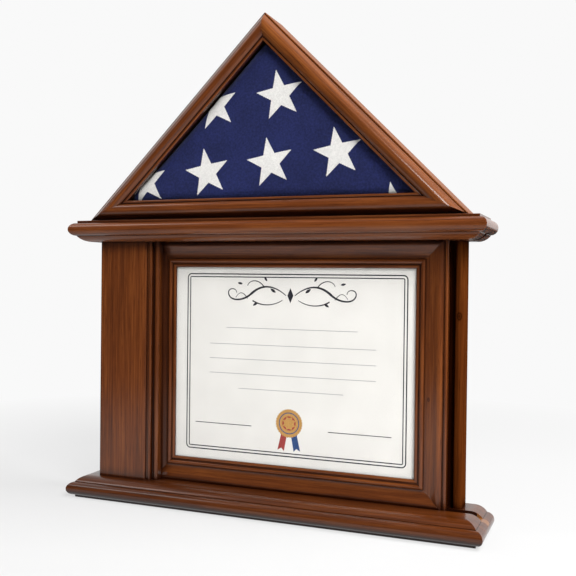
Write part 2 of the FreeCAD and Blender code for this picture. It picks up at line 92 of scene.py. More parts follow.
def photograph_camera():
    """Camera at the photograph's place, turned left, tipped down and rolled."""
    turn = Matrix.Identity(4)
    for angle, axis in ((CAMERA_YAW, "Z"), (math.pi / 2 - CAMERA_PITCH, "X"), (CAMERA_ROLL, "Z")):
        turn = turn @ Matrix.Rotation(angle, 4, axis)
    data = bpy.data.cameras.new("photograph_camera")
    data.lens = LENS_MM
    data.sensor_width = SENSOR_MM
    data.clip_start = 0.01
    camera = bpy.data.objects.new("photograph_camera", data)
    camera.matrix_world = Matrix.Translation(CAMERA_PLACE) @ turn
    scene.collection.objects.link(camera)
    return camera


scene.camera = photograph_camera()
print("camera at", CAMERA_PLACE)

# %% [markdown]
# ## Helpers for node trees
#
# Every finish below is a tree of nodes. A few small helpers keep those trees short: one makes an empty
# material that reads Object coordinates, so that a pattern stays put on its piece, one adds a node and
# sets or links its inputs, and the others are the steps used most often.

# %% Node helpers
def new_material(name):
    """Empty material: itself, its node tree, its Object coordinates and its output node."""
    material = bpy.data.materials.new(name)
    material.use_nodes = True
    tree = material.node_tree
    tree.nodes.clear()
    output = tree.nodes.new("ShaderNodeOutputMaterial")
    return material, tree, tree.nodes.new("ShaderNodeTexCoord").outputs["Object"], output


def add(tree, kind, inputs=None, **settings):
    """New node with settings as its properties and inputs set or linked by socket name."""
    node = tree.nodes.new(kind)
    for key, value in settings.items():
        setattr(node, key, value)
    for key, value in (inputs or {}).items():
        if isinstance(value, bpy.types.NodeSocket):
            tree.links.new(value, node.inputs[key])
        else:
            node.inputs[key].default_value = value
    return node


def ramp(tree, factor, stops):
    """Colour ramp from a list of positions and colours."""
    node = add(tree, "ShaderNodeValToRGB", {"Fac": factor})
    while len(node.color_ramp.elements) < len(stops):
        node.color_ramp.elements.new(0.5)
    for element, (position, colour) in zip(node.color_ramp.elements, stops):
        element.position = position
        element.color = (*colour, 1.0)
    return node.outputs["Color"]


def maths(tree, operation, a, b=0.0):
    """One step of arithmetic."""
    return add(tree, "ShaderNodeMath", {0: a, 1: b}, operation=operation).outputs[0]


def spread(tree, value, low, high, to_low=0.0, to_high=1.0):
    """Part of a value's range stretched to another range, and held at its ends."""
    limits = {"Value": value, "From Min": low, "From Max": high, "To Min": to_low, "To Max": to_high}
    return add(tree, "ShaderNodeMapRange", limits).outputs["Result"]


def blend_colours(tree, mode, factor, a, b):
    """Two colours mixed, by the sockets of the Mix node that take colours."""
    inputs = {0: factor, 6: a, 7: b}
    return add(tree, "ShaderNodeMix", inputs, data_type="RGBA", blend_type=mode).outputs[2]


def noise(tree, place, scale, detail, distortion=0.0):
    """Noise between nought and one, its scale per metre."""
    inputs = {"Vector": place, "Scale": scale, "Detail": detail, "Distortion": distortion}
    return add(tree, "ShaderNodeTexNoise", inputs).outputs["Fac"]


def shared(tree, a, share, b):
    """Two values added, a share of the first to the rest of the second."""
    return maths(tree, "ADD", maths(tree, "MULTIPLY", a, share), maths(tree, "MULTIPLY", b, 1.0 - share))


def shades(colour, *shares):
    """Darker and lighter shades of a colour."""
    return [tuple(channel * share for channel in colour) for share in shares]


def bumped(tree, height, strength, distance):
    """Normal of a surface raised a little by a height."""
    inputs = {"Height": height, "Strength": strength, "Distance": distance}
    return add(tree, "ShaderNodeBump", inputs).outputs[0]


def surfaced(tree, output, inputs):
    """Principled shader with its inputs set or linked, joined to the output."""
    shader = add(tree, "ShaderNodeBsdfPrincipled", inputs)
    tree.links.new(shader.outputs[0], output.inputs["Surface"])


def mixed_surface(tree, output, share, first, second):
    """Two shaders mixed by a share of the second, joined to the output."""
    mixed = add(tree, "ShaderNodeMixShader", {0: share, 1: first.outputs[0], 2: second.outputs[0]})
    tree.links.new(mixed.outputs[0], output.inputs["Surface"])


print("node helpers ready")

# %% [markdown]
# ## The studio
#
# The case stands on a white sweep. A large key light stands high in front on the right, so that the
# mouldings throw their short shadows on the flag. A second lamp over the right-hand end picks out the
# outer edges, and a weak strip on the left draws a thin line along the left moulding. The floor fades into
# the background a little way out, so no horizon shows, and keeps only a faint shadow.

# %% World and floor
BACKGROUND = (0.947, 0.947, 0.947, 1.0)
FRONT_MIRRORED = 0.05
MIRRORED_ROOM = ((0.36, FRONT_MIRRORED), (0.54, 0.30), (0.76, 0.95))
ROOM_TIP = 0.35
AMBIENT = 0.20


def studio_world():
    """White where the camera or a clear reflection looks, with the camera's side of the room dimmer."""
    world = bpy.data.worlds.new("studio")
    world.use_nodes = True
    scene.world = world
    tree = world.node_tree
    tree.nodes.clear()
    direction = add(tree, "ShaderNodeTexCoord").outputs["Generated"]
    parts = add(tree, "ShaderNodeSeparateXYZ", {0: direction})
    backness = maths(tree, "ADD", parts.outputs["Y"], maths(tree, "MULTIPLY", parts.outputs["Z"], ROOM_TIP))
    stops = [(way, (level,) * 3) for way, level in MIRRORED_ROOM]
    mirrored = ramp(tree, spread(tree, backness, -1.0, 1.0), stops)
    path = add(tree, "ShaderNodeLightPath")
    seen = maths(tree, "MAXIMUM", path.outputs["Is Camera Ray"], path.outputs["Is Transmission Ray"])
    soft = blend_colours(tree, "MIX", path.outputs["Is Glossy Ray"], (AMBIENT,) * 3 + (1.0,), mirrored)
    colour = blend_colours(tree, "MIX", seen, soft, BACKGROUND)
    lit = add(tree, "ShaderNodeBackground", {"Color": colour, "Strength": 1.0})
    tree.links.new(lit.outputs[0], add(tree, "ShaderNodeOutputWorld").inputs["Surface"])


FLOOR_HALF = 6.0
FLOOR_FADE = (0.45, 0.95)
FLOOR_GREY = (0.60, 0.60, 0.60, 1.0)
FLOOR_SHADOW = 0.34
FLOOR_MIRRORED = (0.45, 1.10)


def studio_floor():
    """Pale floor that takes a faint shadow near the case and fades into the background further out."""
    mesh = bpy.data.meshes.new("floor")
    corners = [(x * FLOOR_HALF, y * FLOOR_HALF, 0) for x, y in ((-1, -1), (1, -1), (1, 1), (-1, 1))]
    mesh.from_pydata(corners, [], [(0, 1, 2, 3)])
    floor = bpy.data.objects.new("floor", mesh)
    scene.collection.objects.link(floor)
    material, tree, place, output = new_material("studio_floor")
    distance = add(tree, "ShaderNodeVectorMath", {0: place}, operation="LENGTH").outputs["Value"]
    kept = spread(tree, distance, *FLOOR_FADE, FLOOR_SHADOW, 0.0)
    matt = add(tree, "ShaderNodeBsdfDiffuse", {"Color": FLOOR_GREY})
    path = add(tree, "ShaderNodeLightPath")
    near = spread(tree, distance, *FLOOR_MIRRORED, 1.0, FRONT_MIRRORED)
    strength = maths(tree, "MAXIMUM", path.outputs["Is Camera Ray"], near)
    glow = add(tree, "ShaderNodeEmission", {"Color": BACKGROUND, "Strength": strength})
    seen = maths(tree, "MAXIMUM", path.outputs["Is Camera Ray"], path.outputs["Is Glossy Ray"])
    share = maths(tree, "MULTIPLY", seen, maths(tree, "SUBTRACT", 1.0, kept))
    mixed_surface(tree, output, share, matt, glow)
    mesh.materials.append(material)


studio_world()
studio_floor()
print("floor half width", FLOOR_HALF)


# %% Lamps
def softbox(name, place, target, size, watts, mirrored=True):
    """Rectangular soft lamp aimed at a point, which may be kept out of reflections."""
    data = bpy.data.lights.new(name, "AREA")
    data.shape = "RECTANGLE"
    data.size, data.size_y = size
    data.energy = watts
    lamp = bpy.data.objects.new(name, data)
    lamp.location = place
    lamp.visible_glossy = mirrored
    lamp.rotation_euler = (Vector(target) - Vector(place)).to_track_quat("-Z", "Y").to_euler()
    scene.collection.objects.link(lamp)


softbox("key", (1.51, -1.56, 1.73), (0, 0, 0.30), (1.1, 1.1), 70)
softbox("edge_light", (0.95, 0.05, 1.45), (0.05, 0, 0.40), (0.8, 0.8), 30, mirrored=False)
softbox("left_strip", (-1.25, -0.7, 1.35), (-0.05, 0, 0.35), (0.30, 1.2), 5)

# %% [markdown]
# ## Stained wood
#
# The wood is a close-grained hardwood, stained dark walnut and sprayed with satin lacquer. Grain runs
# along each member, so one recipe is turned for each direction: long streaks, fine fibres and short
# dark pores, all from noise stretched along the grain. An Ambient Occlusion node darkens the colour in
# the hollows of the mouldings, along the joints and beside neighbouring pieces. This is painted shade,
# with some stain settled in the hollows. A clear coat gives the lacquer's soft shine. Two members have
# a small knot, and the groove in the base shows raw wood.

# %% Walnut finish
STAIN_DARK = (0.0364, 0.0079, 0.0014)
STAIN_MIDDLE = (0.1248, 0.0301, 0.0048)
STAIN_LIGHT = (0.2470, 0.0717, 0.0132)
STAIN_STOPS = (0.26, 0.50, 0.76)
STREAK_SHARE = 0.54
PORE_SHADE = (0.30, 0.24, 0.20, 1.0)
PAINTED_SHADE_TONE = (0.16, 0.10, 0.08, 1.0)
RAW_WOOD = (0.20, 0.075, 0.020, 1.0)
KNOT_DARK = (0.16, 0.11, 0.09)
KNOT_PALE = (0.75, 0.68, 0.62)
KNOT_NARROW = 1.6
STREAK_SCALE = (5.0, 95.0, 95.0)
FIBRE_SCALE = (14.0, 620.0, 620.0)
PORE_SCALE = (46.0, 1350.0, 1350.0)
HOLLOW_REACH = 14.0 * MM


def grain_noise(tree, place, turn, scale, detail, distortion, shift):
    """Noise stretched along the grain: scale is per metre along it and across it."""
    turned = add(tree, "ShaderNodeMapping", {"Vector": place, "Rotation": (0, turn, 0)})
    stretched = add(tree, "ShaderNodeMapping", {
        "Vector": turned.outputs[0], "Scale": scale, "Location": (shift, shift, 0)})
    grain = add(tree, "ShaderNodeTexNoise", {
        "Vector": stretched.outputs[0], "Scale": 1.0, "Detail": detail, "Roughness": 0.6,
        "Distortion": distortion})
    return grain.outputs["Fac"]


def knotted(tree, place, colour, knot):
    """Dark oval knot in a colour: its middle in X and Z and its half height."""
    x, z, half = knot
    moved = add(tree, "ShaderNodeMapping", {
        "Vector": place, "Location": (-x / half * KNOT_NARROW, 0, -z / half),
        "Scale": (KNOT_NARROW / half, 0, 1.0 / half)})
    reach = add(tree, "ShaderNodeVectorMath", {0: moved.outputs[0]}, operation="LENGTH").outputs["Value"]
    shade = ramp(tree, reach, [
        (0.0, KNOT_DARK), (0.45, KNOT_PALE), (0.62, KNOT_DARK), (1.0, (1.0, 1.0, 1.0))])
    return blend_colours(tree, "MULTIPLY", 1.0, colour, shade)


def inside(tree, value, low, high):
    """One between two levels, nought outside them."""
    above = maths(tree, "GREATER_THAN", value, low)
    return maths(tree, "MULTIPLY", above, maths(tree, "LESS_THAN", value, high))


def walnut(name, turn, shift, tint, gloss, knot, raw):
    """Dark stained wood with its grain along X, turned about the depth axis."""
    material, tree, place, output = new_material(name)
    streak = grain_noise(tree, place, turn, STREAK_SCALE, 5.0, 0.9, shift)
    fibre = grain_noise(tree, place, turn, FIBRE_SCALE, 3.0, 0.2, shift)
    pore = grain_noise(tree, place, turn, PORE_SCALE, 2.0, 0.0, shift)
    tones = [tuple(a * b for a, b in zip(tone, tint)) for tone in (STAIN_DARK, STAIN_MIDDLE, STAIN_LIGHT)]
    stain = ramp(tree, shared(tree, streak, STREAK_SHARE, fibre), list(zip(STAIN_STOPS, tones)))
    pores = spread(tree, pore, 0.60, 0.72)
    colour = blend_colours(tree, "MULTIPLY", maths(tree, "MULTIPLY", pores, 0.7), stain, PORE_SHADE)
    # Painted shade: the colour darkens where the Ambient Occlusion node finds nearby surfaces, in hollows
    # and beside neighbouring pieces, with some stain settled in the hollows.
    hollow = add(tree, "ShaderNodeAmbientOcclusion", {"Distance": HOLLOW_REACH}, samples=8)
    painted_shade = spread(tree, hollow.outputs["AO"], 0.50, 0.96, 0.92, 0.0)
    colour = blend_colours(tree, "MULTIPLY", painted_shade, colour, PAINTED_SHADE_TONE)
    if knot:
        colour = knotted(tree, place, colour, knot)
    if raw:
        parts = add(tree, "ShaderNodeSeparateXYZ", {0: place})
        bare = 1.0
        for axis, limits in zip("XYZ", raw):
            bare = maths(tree, "MULTIPLY", bare, inside(tree, parts.outputs[axis], *limits))
        colour = blend_colours(tree, "MIX", bare, colour, RAW_WOOD)
    height = maths(tree, "SUBTRACT", maths(tree, "MULTIPLY", fibre, 0.5), pores)
    surfaced(tree, output, {
        "Base Color": colour, "Roughness": spread(tree, fibre, 0.3, 0.7, 0.34, 0.50),
        "Normal": bumped(tree, height, 0.10, 0.4 * MM), "Specular IOR Level": 0.12 * gloss,
        "Coat Weight": 0.75 * gloss, "Coat Roughness": 0.14, "Coat IOR": 1.45})
    return material


print("hollows darken within", HOLLOW_REACH)

# %% [markdown]
# ## Eased edges
#
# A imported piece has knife-sharp edges. On the real case, sanding and lacquer round them, and each edge
# catches a thin line of light. A Bevel modifier could do this, but it would treat every edge alike.
# Here a copy of each piece is eased in steps: the mitred corners of the two boards most, the long edges
# a little, and the edges of glued joints hardly at all, so that the joints stay tight.

# %% Easing
EASED_EDGE = 0.7 * MM
EASED_JOINT = 0.15 * MM
EASED_CORNER = 2.0 * MM
SHARP = math.radians(32)
NEARLY_FLAT = math.radians(0.3)
LEAST_MITRE = math.radians(5)
END_CORNERS = 9
MITRE_REACH = 30.0 * MM
SAME_PLACE = 2e-6
HAIR = 0.01 * MM


def made_plain(piece):
    """Apply a piece's modifiers and leave it as a plain mesh."""
    bpy.context.view_layer.update()
    finished = bpy.data.meshes.new_from_object(piece.evaluated_get(bpy.context.evaluated_depsgraph_get()))
    piece.modifiers.clear()
    piece.data = finished
    return piece


def linked_piece(name, bm):
    """Object in the scene from a bmesh, which is freed."""
    mesh = bpy.data.meshes.new(name)
    bm.to_mesh(mesh)
    bm.free()
    piece = bpy.data.objects.new(name, mesh)
    scene.collection.objects.link(piece)
    return piece


def smooth_but_sharp(piece, degrees):
    """Shade a piece smooth, apart from edges that turn by more than an angle."""
    piece.data.shade_smooth()
    piece.data.set_sharp_from_angle(angle=math.radians(degrees))


def on_mitre(vert, low, high):
    """Whether a point lies on the upright plane through a corner of a board, halfway between its sides."""
    inward_x = min(vert.co.x - low.x, high.x - vert.co.x)
    inward_y = min(vert.co.y - low.y, high.y - vert.co.y)
    return abs(inward_x - inward_y) < HAIR and inward_x < MITRE_REACH


def ease(bm, done, edges, amount, segments):
    """Bevel some edges and mark the new faces, so that their own edges aren't bevelled again."""
    made = bmesh.ops.bevel(bm, geom=edges, offset=amount, segments=segments, profile=0.5, affect="EDGES",
                           clamp_overlap=True)
    for face in made["faces"]:
        face[done] = 1


def eased_copy(node, amount, corner=0.0):
    """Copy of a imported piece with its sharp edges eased, as sanding and lacquer leave them."""
    bm = bmesh.new()
    bm.from_mesh(nodes[node].data)
    bmesh.ops.remove_doubles(bm, verts=bm.verts, dist=SAME_PLACE)
    bmesh.ops.dissolve_limit(bm, angle_limit=NEARLY_FLAT, verts=bm.verts, edges=bm.edges,
                             use_dissolve_boundaries=False)
    done = bm.faces.layers.int.new("done")
    if corner:
        low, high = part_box(node)
        ease(bm, done, [edge for edge in bm.edges if all(on_mitre(vert, low, high) for vert in edge.verts)
                        and edge.calc_face_angle(0) > LEAST_MITRE], corner, 4)
    for at_joints, size in ((True, min(EASED_JOINT, amount)), (False, amount)):
        sharp = []
        for edge in bm.edges:
            faces = edge.link_faces
            if len(faces) != 2 or any(face[done] for face in faces) or edge.calc_face_angle(0) < SHARP:
                continue
            if any(len(face.verts) >= END_CORNERS for face in faces) == at_joints:
                sharp.append(edge)
        ease(bm, done, sharp, size, 2)
    bm.faces.layers.int.remove(done)
    piece = linked_piece(node + "_eased", bm)
    smooth_but_sharp(piece, 48)
    piece.modifiers.new("weighted", "WEIGHTED_NORMAL").keep_sharp = True
    return made_plain(piece)


def dress(piece, material):
    """Give a whole piece one finish."""
    piece.data.materials.clear()
    piece.data.materials.append(material)


def finish_piece(piece, material, body, slot, *replaced):
    """Give a piece its finish, the body it moves with and the nodes that it stands for. The slot is not
    used.
    """
    if material:
        dress(piece, material)
    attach(piece, body)
    if replaced:
        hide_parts(*replaced)


print("edges eased by", EASED_EDGE)

# %% [markdown]
# ## The wooden pieces
#
# Each wooden piece gets an eased copy and its own cut of the walnut finish, with the grain along its
# length and its own shift, so that no two neighbours share one figure. A dark gap runs down between the
# certificate frame and the right-hand post, so that post also gets a slot, cut by a Boolean modifier.

# %% Wooden pieces
GRAIN_TURNS = {"along": 0.0, "upright": math.radians(90), "rising": math.radians(45),
               "falling": math.radians(-45)}
WOOD_GRAIN = {
    "base_board": "along", "cornice_board": "along", "flag_floor_board": "along",
    "flag_bottom_moulding": "along", "frame_top_rail": "along", "frame_bottom_rail": "along",
    "pedestal_back_board": "along", "left_post": "upright", "right_post": "upright",
    "post_moulding": "upright", "left_side_board": "upright", "frame_left_stile": "upright",
    "frame_right_stile": "upright", "flag_left_side": "rising", "flag_left_moulding": "rising",
    "flag_right_side": "falling", "flag_right_moulding": "falling"}
UNTINTED = (1.0, 1.0, 1.0)
# Painted light and shade in the stain. The right moulding and right side of the flag box are painted
# lighter, for the lamp's light and reflection on them. The right post and the base board are painted darker,
# for the shade on them. The post moulding is darker as well.
LIGHT_AND_SHADE_TINTS = {"flag_right_moulding": (1.15, 1.25, 1.2), "flag_right_side": (1.3, 1.5, 1.7),
         "right_post": (0.65, 0.64, 0.70), "post_moulding": (0.80, 0.80, 0.80),
         "base_board": (0.60, 0.58, 0.58)}
DULL = {"right_post": 0.0, "flag_right_side": 0.15}
POST_SLOT = ((188.9, 9.0, 10.0), (195.3, 19.0, 300.0))
KNOTS = {"right_post": (199.0 * MM, 214.4 * MM, 5.0 * MM),
         "frame_right_stile": (170.9 * MM, 131.1 * MM, 2.6 * MM)}
GROOVE_MOUTH = ((219.0 * MM, 233.0 * MM), (0.2 * MM, 10.8 * MM), (13.0 * MM, 22.0 * MM))
BOARD_CORNERS = {"base_board": EASED_CORNER, "cornice_board": EASED_CORNER}
FIGURE_SHIFT = 0.37


def slotted(piece, low, high):
    """Cut a straight slot, given by its two corners in millimetres, through a piece."""
    bm = bmesh.new()
    bmesh.ops.create_cube(bm, size=1.0)
    for vert in bm.verts:
        vert.co = [((a + b) / 2 + (b - a) * c) * MM for a, b, c in zip(low, high, vert.co)]
    cutter = linked_piece("slot_cutter", bm)
    cut = piece.modifiers.new("slot", "BOOLEAN")
    cut.operation = "DIFFERENCE"
    cut.object = cutter
    made_plain(piece)
    bpy.data.objects.remove(cutter)


for number, (node, grain) in enumerate(WOOD_GRAIN.items()):
    wood = eased_copy(node, EASED_EDGE, BOARD_CORNERS.get(node, 0.0))
    if node == "right_post":
        slotted(wood, *POST_SLOT)
    raw = GROOVE_MOUTH if node == "base_board" else None
    finish = walnut("walnut_" + node, GRAIN_TURNS[grain], FIGURE_SHIFT * number, LIGHT_AND_SHADE_TINTS.get(node, UNTINTED),
                    DULL.get(node, 1.0), KNOTS.get(node), raw)
    finish_piece(wood, finish, nodes[node]["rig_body"], "walnut", node)
print("wooden pieces", len(WOOD_GRAIN))

# %% [markdown]
# ## The folded flag
#
# A flag folded the traditional way is a thick three-cornered pad of many layers. Its face is one layer of
# navy cloth that rolls back at the edges and presses softly against the glass. The pad starts as rings:
# rounded triangles from the back to the middle of the face. Cloth pressure then swells it, as the spring
# of the folded layers does, and the glass and the box hold it in.

# %% Flag pad before it swells
def around(centre, reach, angle):
    """Point at a distance from a centre, in a direction."""
    return centre[0] + reach * math.cos(angle), centre[1] + reach * math.sin(angle)


FLAG_BOARD = 12.0 * MM
PAD_CORNER = 7.0 * MM
PAD_CLEAR = 0.6 * MM
PAD_EDGE_ROLL = 7.0 * MM
PAD_SLACK = 1.6 * MM
COT_POINT = 1.0 + math.sqrt(2.0)
case_low, case_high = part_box("flag_floor_board")
CASE_HALF = (case_high.x - case_low.x) / 2.0
CASE_FLOOR = case_low.z
pad_low, pad_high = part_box("folded_flag")
ARC_STEPS = 8
SIDE_STEPS = 40
ROLL_STEPS = 6
FACE_STEPS = 17
MIDDLE_LEFT = 2.0 * MM
PAD_MESH = 4.5 * MM
PAD_SIDE = ((1.0, 30.0), (0.995, 8.0), (0.975, 3.5), (0.93, 1.2), (0.8, 0.2), (0.5, 0.0), (0.25, 0.3))


def rounded_triangle(inset):
    """Points round a triangle set in from the outside of the case, its corners rounded: X and Z."""
    half = CASE_HALF - inset * COT_POINT
    low = CASE_FLOOR + inset
    r = min(PAD_CORNER, half * 0.2)
    inner = half - r * COT_POINT
    centres = ((inner, low + r), (0.0, low + r + inner), (-inner, low + r))
    starts = (-90.0, 45.0, 135.0)
    sweeps = (135.0, 90.0, 135.0)
    points = []
    for i in range(3):
        for step in range(ARC_STEPS + 1):
            angle = math.radians(starts[i] + sweeps[i] * step / ARC_STEPS)
            points.append(around(centres[i], r, angle))
        target = around(centres[(i + 1) % 3], r, math.radians(starts[(i + 1) % 3]))
        begin = points[-1]
        for step in range(1, SIDE_STEPS):
            t = step / SIDE_STEPS
            points.append((begin[0] + (target[0] - begin[0]) * t, begin[1] + (target[1] - begin[1]) * t))
    return points


def pad_rings():
    """Depth and inset of each ring, from the middle of the back round to the middle of the face."""
    depth = pad_high.y - pad_low.y - 2 * PAD_SLACK
    front = pad_low.y + PAD_SLACK
    edge = FLAG_BOARD + PAD_CLEAR + PAD_SLACK
    rings = [(front + depth * way, edge + drawn * MM) for way, drawn in PAD_SIDE]
    for step in range(ROLL_STEPS + 1):
        angle = math.radians(90.0 * step / ROLL_STEPS)
        rings.append((front + PAD_EDGE_ROLL * (1 - math.sin(angle)),
                      edge + PAD_EDGE_ROLL * (1 - math.cos(angle))))
    rolled = edge + PAD_EDGE_ROLL
    face = CASE_HALF / COT_POINT - MIDDLE_LEFT - rolled
    rings += [(front, rolled + face * step / FACE_STEPS) for step in range(1, FACE_STEPS + 1)]
    return rings


def outward_piece(name, bm):
    """Object in the scene from a bmesh whose faces are turned outwards first."""
    bmesh.ops.recalc_face_normals(bm, faces=bm.faces)
    return linked_piece(name, bm)


def joined_loops(bm, loops):
    """Skin of quads from each closed loop of points to the next, with the two ends closed."""
    for near, far in zip(loops, loops[1:]):
        count = len(near)
        for i in range(count):
            bm.faces.new((near[i], near[(i + 1) % count], far[(i + 1) % count], far[i]))
    bm.faces.new(loops[0])
    bm.faces.new(loops[-1])


def slack_pad():
    """Closed pad: back, sides, rolled edge and a face of rings closing on the middle."""
    bm = bmesh.new()
    joined_loops(bm, [[bm.verts.new((x, y, z)) for x, z in rounded_triangle(inset)]
                      for y, inset in pad_rings()])
    bmesh.ops.remove_doubles(bm, verts=bm.verts, dist=HAIR)
    pad = outward_piece("folded_flag_cloth", bm)
    even = pad.modifiers.new("even_mesh", "REMESH")
    even.mode = "VOXEL"
    even.voxel_size = PAD_MESH
    return made_plain(pad)


flag = slack_pad()
print("flag points", len(flag.data.vertices))

# %% Swell the pad
SWELL_FRAMES = 20
PRESSURE = 4.0
MOST_SWELL = 3.0 * MM
GLASS_GAP = 0.15 * MM
SMOOTH_PASSES = 8
CREASES = ((1, -96.0, 0.30), (1, 118.0, 0.22), (-1, 78.0, 0.28), (-1, -40.0, 0.2), (1, 20.0, 0.16))
CREASE_WIDTH = 3.2 * MM
FACES_FRONT = -0.8


def held_in(point):
    """Point kept behind the glass, in front of the back and clear of the three boards."""
    edge = FLAG_BOARD + PAD_CLEAR / 2
    x = point.x
    z = max(point.z, CASE_FLOOR + edge)
    for side in (1, -1):
        over = edge - (CASE_HALF - side * x - (z - CASE_FLOOR)) / math.sqrt(2)
        if over > 0:
            x -= side * over / math.sqrt(2)
            z -= over / math.sqrt(2)
    return Vector((x, min(max(point.y, pad_low.y + GLASS_GAP), pad_high.y), z))


def crease_depth(x, z):
    """Shallow hollows along the lines of earlier folds, which run parallel to the sloping sides."""
    depth = 0.0
    for slope, offset, amount in CREASES:
        away = (z - CASE_FLOOR - slope * x - offset * MM) / math.sqrt(2)
        depth += amount * MM * math.exp(-(away / CREASE_WIDTH) ** 2)
    return depth


def smoothed(pad):
    """Take the small buckles out of the cloth, as the taut outer layer does."""
    bm = bmesh.new()
    bm.from_mesh(pad.data)
    for _ in range(SMOOTH_PASSES):
        bmesh.ops.smooth_vert(bm, verts=bm.verts, factor=0.5, use_axis_x=True, use_axis_y=True,
                              use_axis_z=True)
    bm.to_mesh(pad.data)
    bm.free()


def swell(pad):
    """Swell the pad by cloth pressure with its movement capped, then press in the fold lines."""
    start = [vert.co.copy() for vert in pad.data.vertices]
    ends = start
    cloth = pad.modifiers.new("spring_of_the_folds", "CLOTH")
    cloth.settings.quality = 6
    cloth.settings.mass = 0.3
    cloth.settings.use_pressure = True
    cloth.settings.uniform_pressure_force = PRESSURE
    cloth.settings.effector_weights.gravity = 0.0
    cloth.point_cache.frame_start = 1
    cloth.point_cache.frame_end = SWELL_FRAMES
    for number in range(1, SWELL_FRAMES + 1):
        scene.frame_set(number)
    swollen = pad.evaluated_get(bpy.context.evaluated_depsgraph_get())
    ends = [vert.co.copy() for vert in swollen.data.vertices]
    pad.modifiers.clear()
    scene.frame_set(1)
    for vert, begin, end in zip(pad.data.vertices, start, ends):
        move = end - begin
        if move.length > MOST_SWELL:
            move *= MOST_SWELL / move.length
        vert.co = begin + move
    smoothed(pad)
    for vert in pad.data.vertices:
        vert.co = held_in(vert.co)
    finer = pad.modifiers.new("finer", "SUBSURF")
    finer.levels = finer.render_levels = 1
    made_plain(pad)
    for vert in pad.data.vertices:
        if vert.normal.y < FACES_FRONT:
            vert.co.y += crease_depth(vert.co.x, vert.co.z)
    pad.data.shade_smooth()


swell(flag)
print("flag faces", len(flag.data.polygons))

# %% [markdown]
# ## Woven cloth
#
# Flag cloth is a plain weave of fine threads, with a dye that is never quite even. Threads could be
# modelled, but at half a millimetre apart they only show as a soft texture, so the weave is two crossed
# waves that shade and raise the surface, over two sizes of noise.

# %% Navy cloth
NAVY = (0.0125, 0.0185, 0.092)
THREAD = 0.55 * MM
BETWEEN_THREADS = (0.45, 0.45, 0.45, 1.0)


def woven(name, colour, thread, sheen, uneven):
    """Plain-woven cloth: warp and weft threads at a real spacing, with uneven dye."""
    material, tree, place, output = new_material(name)
    parts = add(tree, "ShaderNodeSeparateXYZ", {0: place})
    turns = 2.0 * math.pi / thread
    warp = maths(tree, "SINE", maths(tree, "MULTIPLY", parts.outputs["X"], turns))
    weft = maths(tree, "SINE", maths(tree, "MULTIPLY", parts.outputs["Z"], turns))
    cloth = maths(tree, "MULTIPLY", warp, weft)
    tone = shared(tree, noise(tree, place, 460.0, 4.0), 0.65, noise(tree, place, 22.0, 2.0))
    darker, lighter = shades(colour, 1.0 - uneven, 1.0 + uneven)
    shade = ramp(tree, tone, [(0.38, darker), (0.62, lighter)])
    gaps = spread(tree, cloth, -1.0, 1.0, 0.0, 0.22)
    surfaced(tree, output, {
        "Base Color": blend_colours(tree, "MULTIPLY", gaps, shade, BETWEEN_THREADS), "Roughness": 0.85,
        "Normal": bumped(tree, cloth, 0.25, 0.15 * MM), "Sheen Weight": sheen, "Sheen Roughness": 0.5,
        "Specular IOR Level": 0.2})
    return material


finish_piece(flag, woven("navy_cloth", NAVY, THREAD, 0.06, 0.32), "case", "flag_cloth", "folded_flag")
print("thread spacing", THREAD)

# %% [markdown]
# ## Sewn stars
#
# White stars are sewn on the cloth. Each is a thin patch that lies on the face and is cut off where the
# fold takes it round the edge. A flat star could be pushed through the cloth where the pad curves, so
# the patch is divided finely and every point is dropped straight back on to the face.

# %% Star patches
STAR_WHITE = (0.83, 0.82, 0.80)
STAR_PLACES = ((16.5, 439.6), (-57.9, 433.5), (-66.8, 362.3), (6.4, 370.3), (80.4, 377.2), (-142.6, 354.7),
               (139.4, 320.0))
STAR_RADIUS = 26.5 * MM
STAR_INNER = 0.40
STAR_TILT = math.radians(9.5)
STAR_THICK = 0.35 * MM
STAR_SUNK = STAR_THICK / 2
STAR_LIMIT = FLAG_BOARD + 5.5 * MM
STAR_STEP = 4.0 * MM
STAR_HALVINGS = 4
face_tree = BVHTree.FromObject(flag, bpy.context.evaluated_depsgraph_get())


def face_depth(x, z):
    """Depth of the front of the flag, straight behind a place on the glass, or of its rolled edge."""
    spot = face_tree.ray_cast(Vector((x, -1.0, z)), Vector((0, 1, 0)))[0]
    return spot.y if spot else pad_low.y + PAD_SLACK + PAD_EDGE_ROLL


def star_outline(centre, radius):
    """Ten corners of a five-pointed star, anticlockwise seen from the front."""
    corners = []
    for i in range(10):
        reach = radius if i % 2 == 0 else radius * STAR_INNER
        angle = math.radians(90.0 + 36.0 * i) + STAR_TILT
        corners.append(Vector(around(centre, reach, angle)))
    return corners


def cut_to_face(outline):
    """Outline cut off along the three sides of the flag's face, just outside what the mouldings show."""
    slope = 1 / math.sqrt(2)
    for nx, nz in ((0, 1), (slope, -slope), (-slope, -slope)):
        corner = Vector((0, CASE_FLOOR)) if nx == 0 else Vector((-math.copysign(CASE_HALF, nx), CASE_FLOOR))
        heights = [nx * (p.x - corner.x) + nz * (p.y - corner.y) - STAR_LIMIT for p in outline]
        kept = []
        for i, here in enumerate(outline):
            there, a, b = outline[i - 1], heights[i], heights[i - 1]
            if a * b < 0:
                kept.append(there.lerp(here, b / (b - a)))
            if a >= 0:
                kept.append(here)
        outline = kept
    return outline


def second_face(bm):
    """Points of a second layer of all the faces, joined to the first round the rim."""
    made = bmesh.ops.extrude_face_region(bm, geom=bm.faces[:])["geom"]
    return [part for part in made if isinstance(part, bmesh.types.BMVert)]


